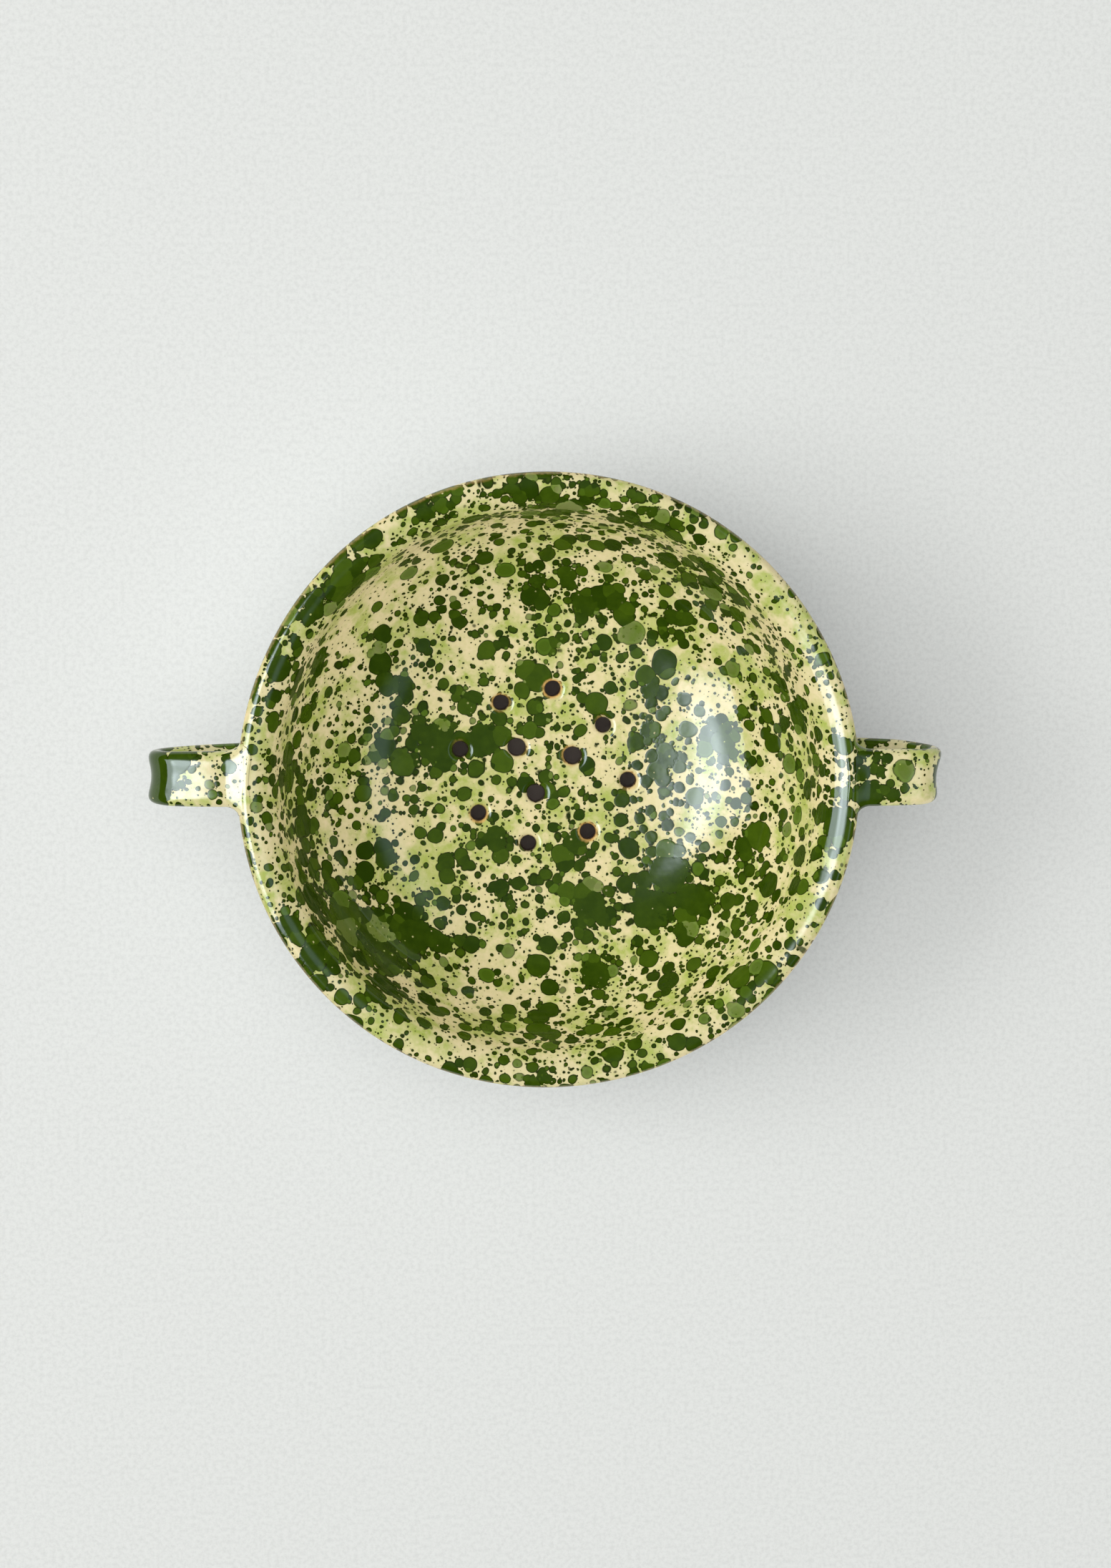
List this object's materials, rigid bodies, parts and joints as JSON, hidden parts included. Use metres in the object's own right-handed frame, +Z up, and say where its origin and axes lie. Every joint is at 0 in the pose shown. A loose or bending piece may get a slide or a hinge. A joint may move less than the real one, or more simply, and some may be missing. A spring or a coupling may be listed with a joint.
{
  "type": "colander bowl",
  "caption": "Thrown ceramic berry colander: round bowl with turned-out lip, punched drain holes in the floor, a foot ring and two strap handles.",
  "frame": {"origin": "on the table plane, at the centre of the foot ring", "axes": "+Z up, out of the bowl's mouth; +X through the right handle, so both handles lie along X"},
  "size_m": [0.2458, 0.19, 0.058],
  "materials": {
    "splatter_glaze": "gloss",
    "bare_clay": "matte"
  },
  "bodies": {
    "root": {"bowl_body": "splatter_glaze", "foot_slip_seam": "splatter_glaze", "left_handle": "splatter_glaze", "right_handle": "splatter_glaze", "left_upper_slip_joint": "splatter_glaze", "left_lower_slip_joint": "splatter_glaze", "right_upper_slip_joint": "splatter_glaze", "right_lower_slip_joint": "splatter_glaze", "foot_ring": "bare_clay"}
  },
  "joints": []
}
